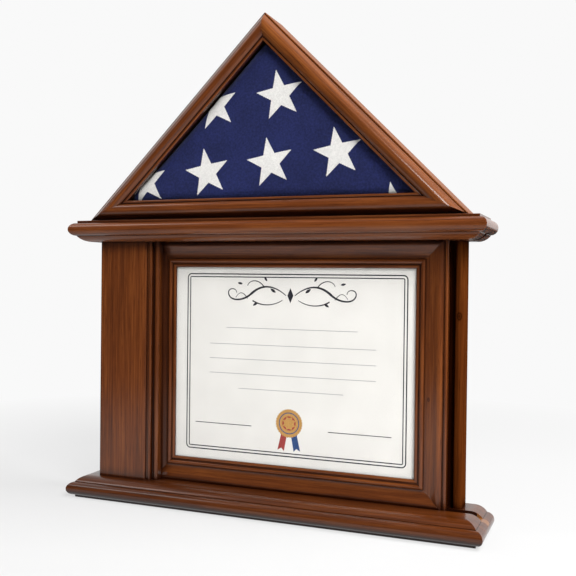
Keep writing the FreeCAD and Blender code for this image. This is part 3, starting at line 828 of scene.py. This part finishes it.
def star_patch(outline):
    """Closed patch of an outline, divided finely and laid on the cloth."""
    bm = bmesh.new()
    bm.faces.new([bm.verts.new((p.x, 0, p.y)) for p in outline]).normal_update()
    bmesh.ops.triangulate(bm, faces=bm.faces[:])
    for _ in range(STAR_HALVINGS):
        long_edges = [edge for edge in bm.edges if edge.calc_length() > STAR_STEP]
        bmesh.ops.subdivide_edges(bm, edges=long_edges, cuts=1)
        bmesh.ops.triangulate(bm, faces=bm.faces[:])
    for vert in bm.verts:
        vert.co.y = face_depth(vert.co.x, vert.co.z) + STAR_SUNK
    for vert in second_face(bm):
        vert.co.y -= STAR_THICK + STAR_SUNK
    patch = bpy.data.meshes.new("star_patch")
    bm.to_mesh(patch)
    bm.free()
    return patch


def sewn_stars():
    """All the stars as one piece."""
    bm = bmesh.new()
    for x, z in STAR_PLACES:
        patch = star_patch(cut_to_face(star_outline((x * MM, z * MM), STAR_RADIUS)))
        bm.from_mesh(patch)
        bpy.data.meshes.remove(patch)
    return outward_piece("sewn_stars", bm)


stars = sewn_stars()
smooth_but_sharp(stars, 40)
finish_piece(stars, woven("star_cloth", STAR_WHITE, THREAD, 0.04, 0.08), "case", "flag_cloth")
print("star faces", len(stars.data.polygons))

# %% [markdown]
# ## Stitches round the stars
#
# A zigzag of white thread holds each star down. Stitches repeat along a path, which is work for
# Geometry Nodes: the outline becomes a curve, the curve is divided at the stitch spacing, and each
# point carries one short thread, leaning left and right by turns.

# %% Geometry Nodes helpers
def repeat_tree(name, inputs):
    """Empty Geometry Nodes tree with named inputs: the tree, its inputs and its output node."""
    tree = bpy.data.node_groups.new(name, "GeometryNodeTree")
    tree.interface.new_socket("Geometry", in_out="INPUT", socket_type="NodeSocketGeometry")
    for label, kind in inputs.items():
        tree.interface.new_socket(label, in_out="INPUT", socket_type="NodeSocket" + kind)
    tree.interface.new_socket("Geometry", in_out="OUTPUT", socket_type="NodeSocketGeometry")
    return tree, tree.nodes.new("NodeGroupInput").outputs, tree.nodes.new("NodeGroupOutput")


def end_tree(tree, instances, material, result):
    """Make instances real, give them a material and hand them to the tree's output."""
    real = add(tree, "GeometryNodeRealizeInstances", {0: instances.outputs[0]})
    coloured = add(tree, "GeometryNodeSetMaterial", {"Geometry": real.outputs[0], "Material": material})
    tree.links.new(coloured.outputs[0], result.inputs[0])


def grown(piece, tree, values):
    """Run a tree on a piece with its inputs set by name, and leave the result as a plain mesh."""
    modifier = piece.modifiers.new(tree.name, "NODES")
    modifier.node_group = tree
    for socket in tree.interface.items_tree:
        if socket.in_out == "INPUT" and socket.name in values:
            modifier[socket.identifier] = values[socket.name]
    return made_plain(piece)


print("Geometry Nodes helpers ready")

# %% Stitches
STITCH_SPACING = 1.3 * MM
STITCH_LENGTH = 2.4 * MM
THREAD_RADIUS = 0.16 * MM
STITCH_LEAN = math.radians(38)
STITCH_INSET = 0.965


def zigzag_tree():
    """Tree that lays leaning threads along the edges of a mesh."""
    tree, given, result = repeat_tree("zigzag_stitches", {
        "Spacing": "Float", "Length": "Float", "Radius": "Float", "Lean": "Float", "Thread": "Material"})
    curve = add(tree, "GeometryNodeMeshToCurve", {"Mesh": given["Geometry"]})
    spaced = {"Curve": curve.outputs[0], "Length": given["Spacing"]}
    points = add(tree, "GeometryNodeResampleCurve", spaced, mode="LENGTH")
    tangent = add(tree, "GeometryNodeInputTangent").outputs[0]
    along = add(tree, "FunctionNodeAlignRotationToVector", {"Vector": tangent}, axis="X")
    every_other = maths(tree, "MODULO", add(tree, "GeometryNodeInputIndex").outputs[0], 2.0)
    turn = maths(tree, "SUBTRACT", maths(tree, "MULTIPLY", every_other, 2.0), 1.0)
    angle = maths(tree, "MULTIPLY", turn, given["Lean"])
    lean = add(tree, "FunctionNodeAxisAngleToRotation", {"Axis": (0, 1, 0), "Angle": angle})
    turns = {"Rotation": along.outputs[0], "Rotate By": lean.outputs[0]}
    leaning = add(tree, "FunctionNodeRotateRotation", turns, rotation_space="GLOBAL")
    bead = add(tree, "GeometryNodeMeshUVSphere", {"Segments": 6, "Rings": 4, "Radius": 1.0})
    half_length = maths(tree, "MULTIPLY", given["Length"], 0.5)
    size = add(tree, "ShaderNodeCombineXYZ", {0: half_length, 1: given["Radius"], 2: given["Radius"]})
    threads = add(tree, "GeometryNodeInstanceOnPoints", {
        "Points": points.outputs[0], "Instance": bead.outputs[0], "Rotation": leaning.outputs[0],
        "Scale": size.outputs[0]})
    end_tree(tree, threads, given["Thread"], result)
    return tree


def stitch_line():
    """Closed lines just inside the outline of each star, on top of the patches."""
    bm = bmesh.new()
    for x, z in STAR_PLACES:
        outline = cut_to_face(star_outline((x * MM, z * MM), STAR_RADIUS * STITCH_INSET))
        line = [bm.verts.new((p.x, face_depth(p.x, p.y) - STAR_THICK, p.y)) for p in outline]
        for i, vert in enumerate(line):
            bm.edges.new((line[i - 1], vert))
    return outward_piece("star_stitches", bm)


thread_white = woven("star_thread", STAR_WHITE, THREAD, 0.0, 0.08)
stitches = grown(stitch_line(), zigzag_tree(), {
    "Spacing": STITCH_SPACING, "Length": STITCH_LENGTH, "Radius": THREAD_RADIUS, "Lean": STITCH_LEAN,
    "Thread": thread_white})
stitches.data.shade_smooth()
finish_piece(stitches, None, "case", "flag_cloth")
print("stitch faces", len(stitches.data.polygons))

# %% [markdown]
# ## Glass
#
# Both panes are thin, clean window glass. What matters is that light passes straight through and that a
# faint reflection grows towards a glancing view, so a clear shader is mixed with a mirror by Fresnel.
# Only the side that faces the light or the eye mirrors. Light that leaves through the other side unbent
# would otherwise count as trapped, and leave the flag and the paper dark.

# %% Glass panes
PANE_TINT = (0.992, 0.990, 0.987, 1.0)
PANE_IOR = 1.32


def clear_glass():
    """Thin clear pane: see-through, with a reflection by Fresnel and a trace of haze."""
    material, tree, place, output = new_material("clear_glass")
    haze = spread(tree, noise(tree, place, 14.0, 3.0), 0.3, 0.7, 0.01, 0.05)
    through = add(tree, "ShaderNodeBsdfTransparent", {"Color": PANE_TINT})
    mirror = add(tree, "ShaderNodeBsdfGlossy", {"Color": (1.0, 1.0, 1.0, 1.0), "Roughness": haze})
    share = add(tree, "ShaderNodeFresnel", {"IOR": PANE_IOR}).outputs[0]
    leaving = add(tree, "ShaderNodeNewGeometry").outputs["Backfacing"]
    share = maths(tree, "MULTIPLY", share, maths(tree, "SUBTRACT", 1.0, leaving))
    mixed_surface(tree, output, share, through, mirror)
    return material


glass = clear_glass()
for pane in ("flag_glass", "certificate_glass"):
    dress(nodes[pane], glass)
print("panes dressed")

# %% [markdown]
# ## The paper sheet
#
# Behind the lower pane lies a sheet of heavy paper. It is never quite flat, so the sheet is a fine grid
# with a shallow wave, a hair behind the glass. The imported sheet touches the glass, and two faces at one
# place would flicker, so this piece takes its place.

# %% Paper
PAPER_WHITE = (0.855, 0.845, 0.815)
PAPER_GAP = 0.10 * MM
PAPER_WAVE = 0.02 * MM
WAVE_TURNS = ((31, 11), (-9, 23))
PAPER_GRID = (48, 38)
sheet_low, sheet_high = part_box("certificate_sheet")
PAPER_FRONT = sheet_low.y + PAPER_GAP


def paper_sheet():
    """Thin closed sheet: a waved front, a flat back and four edges."""
    bm = bmesh.new()
    columns, rows = PAPER_GRID
    rows_of_points = []
    for j in range(rows + 1):
        z = sheet_low.z + (sheet_high.z - sheet_low.z) * j / rows
        rows_of_points.append([])
        for i in range(columns + 1):
            x = sheet_low.x + (sheet_high.x - sheet_low.x) * i / columns
            rising, falling = (a * x + b * z for a, b in WAVE_TURNS)
            wave = PAPER_WAVE * (1 + math.sin(rising) * math.cos(falling))
            rows_of_points[-1].append(bm.verts.new((x, PAPER_FRONT + wave, z)))
    for low_row, high_row in zip(rows_of_points, rows_of_points[1:]):
        for i in range(columns):
            bm.faces.new((low_row[i], low_row[i + 1], high_row[i + 1], high_row[i]))
    for vert in second_face(bm):
        vert.co.y = sheet_high.y
    return outward_piece("certificate_paper", bm)


def paper_finish():
    """Uncoated paper: faint fibres, cloudy look-through and a soft tooth."""
    material, tree, place, output = new_material("paper")
    fibre = noise(tree, place, 1500.0, 3.0, 1.5)
    tone = shared(tree, noise(tree, place, 26.0, 3.0), 0.6, fibre)
    darker, lighter = shades(PAPER_WHITE, 0.95, 1.03)
    surfaced(tree, output, {
        "Base Color": ramp(tree, tone, [(0.35, darker), (0.65, lighter)]), "Roughness": 0.9,
        "Specular IOR Level": 0.2, "Normal": bumped(tree, fibre, 0.08, 0.1 * MM)})
    return material


paper = paper_sheet()
smooth_but_sharp(paper, 40)
finish_piece(paper, paper_finish(), "certificate_frame", "paper", "certificate_sheet")
print("paper from", sheet_low, "to", sheet_high)

# %% [markdown]
# ## The print on the paper
#
# The sheet carries a plain award form: a double border with rounded corners, a scroll at the top, ruled
# lines to write on, and a round seal with two ribbons. A picture file could hold it, but this way every
# mark stays sharp and its size can be read: each is a thin ribbon of ink along a path, or a thin disc.

# %% Printing helpers
INK, GREY_INK, GOLD, NAVY_INK, RED = range(5)
INK_TOP = PAPER_FRONT - 0.03 * MM
INK_FOOT = PAPER_FRONT + 0.05 * MM
INK_LAYER = 0.008 * MM
CORNER_STEPS = 6
PAGE_X = (sheet_low.x + sheet_high.x) / 2
PAGE_Z = (sheet_low.z + sheet_high.z) / 2


def on_page(u, w, y):
    """Point on the sheet from its place in millimetres right of and above the middle."""
    return Vector((PAGE_X + u * MM, y, PAGE_Z + w * MM))


def ink_ribbon(bm, path, widths, ink, closed=False):
    """Thin closed ribbon of ink along a path in millimetres, with a width at each point."""
    count = len(path)
    stations = []
    for i, (u, w) in enumerate(path):
        before = path[i - 1] if closed or i > 0 else path[i]
        after = path[(i + 1) % count] if closed or i < count - 1 else path[i]
        ahead = Vector((after[0] - before[0], after[1] - before[1])).normalized() * widths[i] / 2
        left, right = (u - ahead.y, w + ahead.x), (u + ahead.y, w - ahead.x)
        stations.append([bm.verts.new(on_page(*spot, y)) for y in (INK_TOP, INK_FOOT)
                         for spot in (left, right)])
    for i in range(count if closed else count - 1):
        a, b = stations[i], stations[(i + 1) % count]
        for j, k in ((0, 1), (1, 3), (3, 2), (2, 0)):
            bm.faces.new((a[j], a[k], b[k], b[j])).material_index = ink
    if not closed:
        for end in (stations[0], stations[-1]):
            bm.faces.new((end[0], end[1], end[3], end[2])).material_index = ink


def ink_shape(bm, outline, ink, layer=0):
    """Thin closed plate of ink inside an outline in millimetres."""
    top = [bm.verts.new(on_page(u, w, INK_TOP - layer * INK_LAYER)) for u, w in outline]
    foot = [bm.verts.new(on_page(u, w, INK_FOOT)) for u, w in outline]
    sides = [(top[i - 1], top[i], foot[i], foot[i - 1]) for i in range(len(outline))]
    for corners in [top, foot[::-1]] + sides:
        bm.faces.new(corners).material_index = ink


def curve_points(corners, steps=14):
    """Points along a cubic curve from its four corners."""
    points = []
    for step in range(steps + 1):
        t = step / steps
        parts = ((1 - t) ** 3, 3 * t * (1 - t) ** 2, 3 * t * t * (1 - t), t ** 3)
        points.append(tuple(sum(part * place for part, place in zip(parts, places))
                            for places in zip(*corners)))
    return points


def round_frame(left, low, right, high, radius):
    """Rectangle with rounded corners as a closed path."""
    path = []
    for cu, cw, start in ((right, high, 0), (left, high, 90), (left, low, 180), (right, low, 270)):
        u = cu - math.copysign(radius, cu)
        w = cw - math.copysign(radius, cw)
        for step in range(CORNER_STEPS + 1):
            angle = math.radians(start + 90 * step / CORNER_STEPS)
            path.append(around((u, w), radius, angle))
    return path


print("page middle", PAGE_X, PAGE_Z)

# %% Printed marks
BORDER = (-123.0, -95.5, 127.0, 98.5)
BORDER_LINES = ((0.0, 1.25), (3.2, 1.1))
BORDER_CORNER = 4.4
SCROLLS = (
    (((5, 76), (20, 88), (34, 88), (46, 77)), 0.9, 2.6),
    (((46, 77), (55, 69), (72, 68), (73, 78)), 2.2, 1.3),
    (((73, 78), (73, 84), (63, 84), (63, 78)), 1.3, 0.7),
    (((9, 71), (20, 64), (34, 64), (44, 70)), 0.7, 1.5),
    (((30, 84), (36, 94), (48, 93), (50, 86)), 1.2, 0.7),
    (((50, 72), (55, 80), (60, 80), (64, 73)), 0.9, 0.5))
DIAMOND = ((0, 68), (3.4, 76), (0, 84), (-3.4, 76))
LEAVES = ((17, 79, 35, 7.5), (38, 68, -32, 6.5), (56, 88, 10, 6.0), (27, 91, 55, 6.0))
RULES = ((40, 150), (22, 190), (6, 190), (-10, 190), (-26, 120))
SIGNING_RULES = ((-78, -66, 68), (78, -66, 68))
RULE_WIDTH = 0.55
SIGNING_WIDTH = 0.8
SEAL = (0.0, -60.0)
SEAL_DISCS = ((15.0, 64, 0.035, GOLD), (11.6, 48, 0.0, NAVY_INK), (10.6, 48, 0.0, GOLD),
              (7.6, 48, 0.0, RED), (6.6, 16, 0.16, GOLD))
RIBBON = ((1.5, -8), (8.5, -10), (13.0, -29), (8.6, -26.5), (5.6, -30))
LEAF = ((0, 0), (0.3, 0.32), (0.75, 0.22), (1.0, 0))
PRINT_INKS = (("ink", (0.016, 0.016, 0.024), 0.6), ("grey_ink", (0.34, 0.34, 0.35), 0.7),
              ("gold_print", (0.50, 0.27, 0.07), 0.5), ("navy_print", (0.014, 0.055, 0.19), 0.6),
              ("red_print", (0.33, 0.035, 0.03), 0.6))


def shifted(points, side):
    """Path turned over to the left or right half of the page."""
    return [(side * u, w) for u, w in points]


def leaf(u, w, degrees, length):
    """Pointed leaf as an outline."""
    edge = curve_points([(length * a, length * b) for a, b in LEAF], 6)
    turn = math.radians(degrees)
    outline = edge + [(a, -b) for a, b in edge[-2:0:-1]]
    return [(u + a * math.cos(turn) - b * math.sin(turn), w + a * math.sin(turn) + b * math.cos(turn))
            for a, b in outline]


def seal_disc(radius, count, wave):
    """Circle of points round the seal's middle, with its edge scalloped by a wave."""
    reaches = [radius * (1 + wave * (1 if i % 2 else -1)) for i in range(count)]
    return [around(SEAL, reach, 2 * math.pi * i / count) for i, reach in enumerate(reaches)]


def printed_form():
    """Every mark on the sheet as one piece."""
    bm = bmesh.new()
    left, low, right, high = BORDER
    for inset, width in BORDER_LINES:
        path = round_frame(left + inset, low + inset, right - inset, high - inset, BORDER_CORNER - inset)
        ink_ribbon(bm, path, [width] * len(path), INK, closed=True)
    for side in (-1, 1):
        for corners, first, last in SCROLLS:
            path = shifted(curve_points(corners), side)
            steps = len(path) - 1
            ink_ribbon(bm, path, [first + (last - first) * i / steps for i in range(steps + 1)], INK)
        for u, w, degrees, length in LEAVES:
            ink_shape(bm, shifted(leaf(u, w, degrees, length), side), INK)
    ink_shape(bm, DIAMOND, INK)
    for w, length in RULES:
        ink_ribbon(bm, ((-length / 2, w), (length / 2, w)), [RULE_WIDTH] * 2, GREY_INK)
    for u, w, length in SIGNING_RULES:
        ink_ribbon(bm, ((u - length / 2, w), (u + length / 2, w)), [SIGNING_WIDTH] * 2, INK)
    for side, ink in ((-1, RED), (1, NAVY_INK)):
        ink_shape(bm, [(SEAL[0] + side * u, SEAL[1] + w) for u, w in RIBBON], ink)
    for layer, (radius, count, wave, ink) in enumerate(SEAL_DISCS, 1):
        ink_shape(bm, seal_disc(radius, count, wave), ink, layer)
    return outward_piece("certificate_print", bm)


def ink_finish(name, colour, roughness):
    """Printing ink: a little uneven where the paper's tooth shows through."""
    material, tree, place, output = new_material(name)
    tooth = noise(tree, place, 1100.0, 3.0)
    thin = tuple(channel * 1.25 + 0.015 for channel in colour)
    surfaced(tree, output, {
        "Base Color": ramp(tree, tooth, [(0.40, colour), (0.72, thin)]), "Roughness": roughness,
        "Specular IOR Level": 0.25})
    return material


form = printed_form()
for ink in PRINT_INKS:
    form.data.materials.append(ink_finish(*ink))
finish_piece(form, None, "certificate_frame", "paper")
print("print faces", len(form.data.polygons))

# %% [markdown]
# ## Screws
#
# Countersunk screws hold the boards to the posts and the box to the cornice, and three pan-headed ones
# carry the turn buttons. They repeat, so one pattern of each kind is modelled with its cross recess and
# Geometry Nodes sets it at every place, each driven home to its own angle.

# %% Screw pattern
HEAD_SEGMENTS = 32
HEAD_RINGS = (0.12, 0.24, 0.36, 0.46, 0.56, 0.70, 0.86, 1.0)
CROSS_HALF_WIDTH = 0.13
CROSS_REACH = 0.56


def screw_pattern(name, profile, head, recess):
    """Screw along Z, its head at the origin facing down: a cross recess, then rings down its profile."""
    bm = bmesh.new()

    def circle(radius, level, crossed=False):
        """Ring of points, sunk where the cross recess lies."""
        points = []
        for i in range(HEAD_SEGMENTS):
            x, y = around((0, 0), radius, 2 * math.pi * i / HEAD_SEGMENTS)
            near, far = sorted((abs(x), abs(y)))
            sunk = crossed and near < CROSS_HALF_WIDTH * head and far < CROSS_REACH * head
            points.append(bm.verts.new((x, y, level + (recess if sunk else 0.0))))
        return points

    crown = profile[0][1]
    loops = [circle(head * share, crown * share * share, True) for share in HEAD_RINGS]
    joined_loops(bm, loops + [circle(radius, level) for radius, level in profile])
    bmesh.ops.remove_doubles(bm, verts=bm.verts, dist=SAME_PLACE)
    pattern = outward_piece(name, bm)
    smooth_but_sharp(pattern, 35)
    return pattern


def solids_of(node):
    """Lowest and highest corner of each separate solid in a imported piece."""
    bm = bmesh.new()
    bm.from_mesh(nodes[node].data)
    bmesh.ops.remove_doubles(bm, verts=bm.verts, dist=SAME_PLACE)
    waiting = set(bm.verts)
    boxes = []
    while waiting:
        front = [waiting.pop()]
        found = []
        while front:
            vert = front.pop()
            found.append(vert.co.copy())
            fresh = [edge.other_vert(vert) for edge in vert.link_edges if edge.other_vert(vert) in waiting]
            waiting.difference_update(fresh)
            front.extend(fresh)
        boxes.append([Vector(pick(values) for values in zip(*found)) for pick in (min, max)])
    bm.free()
    return sorted(boxes, key=lambda pair: tuple(round(value, 5) for value in pair[0]))


print("base screws", len(solids_of("base_screws")))


# %% Screws in their places
def screw_tree():
    """Tree that drives a screw at each point along one direction, turned at random about itself."""
    tree, given, result = repeat_tree("driven_screws", {
        "Screw": "Object", "Drive": "Vector", "Seed": "Int", "Finish": "Material"})
    model = add(tree, "GeometryNodeObjectInfo", {"Object": given["Screw"]})
    driven = add(tree, "FunctionNodeAlignRotationToVector", {"Vector": given["Drive"]}, axis="Z")
    chance = add(tree, "FunctionNodeRandomValue", {"Max": math.pi, "Seed": given["Seed"]}, data_type="FLOAT")
    angle = next(socket for socket in chance.outputs if socket.type == "VALUE" and socket.enabled)
    spin = add(tree, "FunctionNodeAxisAngleToRotation", {"Axis": (0, 0, 1), "Angle": angle})
    turns = {"Rotation": driven.outputs[0], "Rotate By": spin.outputs[0]}
    turned = add(tree, "FunctionNodeRotateRotation", turns, rotation_space="LOCAL")
    placed = add(tree, "GeometryNodeInstanceOnPoints", {
        "Points": given["Geometry"], "Instance": model.outputs["Geometry"], "Rotation": turned.outputs[0]})
    end_tree(tree, placed, given["Finish"], result)
    return tree


def metal(name, colour, roughness, brush):
    """Plated metal: fine scratches along one way and a mottled plating."""
    material, tree, place, output = new_material(name)
    stretched = add(tree, "ShaderNodeMapping", {"Vector": place, "Scale": brush})
    scratch = noise(tree, stretched.outputs[0], 1.0, 4.0)
    darker, lighter = shades(colour, 0.78, 1.1)
    surfaced(tree, output, {
        "Base Color": ramp(tree, noise(tree, place, 350.0, 3.0), [(0.3, darker), (0.7, lighter)]),
        "Metallic": 1.0, "Normal": bumped(tree, scratch, 0.12, 0.1 * MM),
        "Roughness": spread(tree, scratch, 0.3, 0.7, roughness - 0.06, roughness + 0.08)})
    return material


ZINC = metal("zinc_plate", (0.62, 0.62, 0.60), 0.34, (300.0, 2600.0, 300.0))
SCREW_SEED = 7
SUNK_HEAD = 3.9 * MM
SUNK_SHANK = 1.95 * MM
SUNK_RECESS = 1.0 * MM
PIVOT_SHANK = 1.4 * MM
PIVOT_RECESS = 0.6 * MM
driving = screw_tree()


def driven_screws(node, drive, profile, head, recess):
    """Detailed screws in place of a packed set that share one direction."""
    pattern = screw_pattern(node + "_pattern", profile, head, recess)
    axis = next(i for i in range(3) if drive[i])
    bm = bmesh.new()
    for low, high in solids_of(node):
        spot = (low + high) / 2
        spot[axis] = (low if drive[axis] > 0 else high)[axis]
        bm.verts.new(spot)
    set_of_screws = grown(outward_piece(node + "_driven", bm), driving, {
        "Screw": pattern, "Drive": drive, "Seed": SCREW_SEED, "Finish": ZINC})
    bpy.data.objects.remove(pattern)
    finish_piece(set_of_screws, None, "case", "steel", node)


def countersunk(node, drive):
    """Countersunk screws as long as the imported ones: rim, cone, shank and point."""
    low, high = solids_of(node)[0]
    length = high.z - low.z
    profile = ((SUNK_HEAD, 0.05 * MM), (SUNK_HEAD - 0.05 * MM, 0.35 * MM), (SUNK_SHANK, 2.25 * MM),
               (SUNK_SHANK, length - 3 * MM), (0.4 * MM, length))
    driven_screws(node, drive, profile, SUNK_HEAD, SUNK_RECESS)


for node, upwards in (("base_screws", 1), ("cornice_screws", -1), ("flag_case_screws", 1)):
    countersunk(node, (0, 0, upwards))
pivot_low, pivot_high = solids_of("turn_button_screws")[0]
pivot_length = pivot_high.y - pivot_low.y
pivot_radius = (pivot_high.x - pivot_low.x) / 2
driven_screws("turn_button_screws", (0, -1, 0), (
    (pivot_radius, 0.7 * MM), (pivot_radius, 1.35 * MM), (PIVOT_SHANK, 1.4 * MM),
    (PIVOT_SHANK, pivot_length - 2 * MM), (0.3 * MM, pivot_length)), pivot_radius, PIVOT_RECESS)
print("screws driven, pivot head radius", pivot_radius)

# %% [markdown]
# ## Brass buttons, backing boards and points
#
# The back of the box is closed by a hardboard panel under three brass turn buttons, and the
# certificate frame by a hardboard backing under thin steel points. Hardboard is pressed wood fibre, so
# it gets a fine matted speckle. The buttons are stamped strips, so their edges are eased like the wood's.

# %% Back fittings
def hardboard(name, colour):
    """Pressed fibre board: matted fibres of two sizes and a dull face."""
    material, tree, place, output = new_material(name)
    matted = noise(tree, place, 520.0, 5.0, 2.2)
    tone = shared(tree, matted, 0.7, noise(tree, place, 30.0, 3.0))
    darker, lighter = shades(colour, 0.6, 1.45)
    surfaced(tree, output, {
        "Base Color": ramp(tree, tone, [(0.33, darker), (0.52, colour), (0.70, lighter)]),
        "Roughness": spread(tree, matted, 0.3, 0.7, 0.55, 0.8),
        "Normal": bumped(tree, matted, 0.3, 0.2 * MM)})
    return material


EASED_BUTTON = 0.35 * MM
BRASS = metal("brass_plate", (0.66, 0.46, 0.19), 0.28, (260.0, 260.0, 2200.0))
for side in ("left", "right", "bottom"):
    button = eased_copy("flag_turn_button_" + side, EASED_BUTTON)
    finish_piece(button, BRASS, "turn_button_" + side, "brass", "flag_turn_button_" + side)
dress(nodes["flag_back_panel"], hardboard("back_hardboard", (0.150, 0.078, 0.038)))
dress(nodes["certificate_backing"], hardboard("backing_hardboard", (0.210, 0.122, 0.062)))
dress(nodes["frame_points"], metal("point_steel", (0.50, 0.50, 0.49), 0.38, (1800.0, 200.0, 200.0)))
print("back fittings dressed")
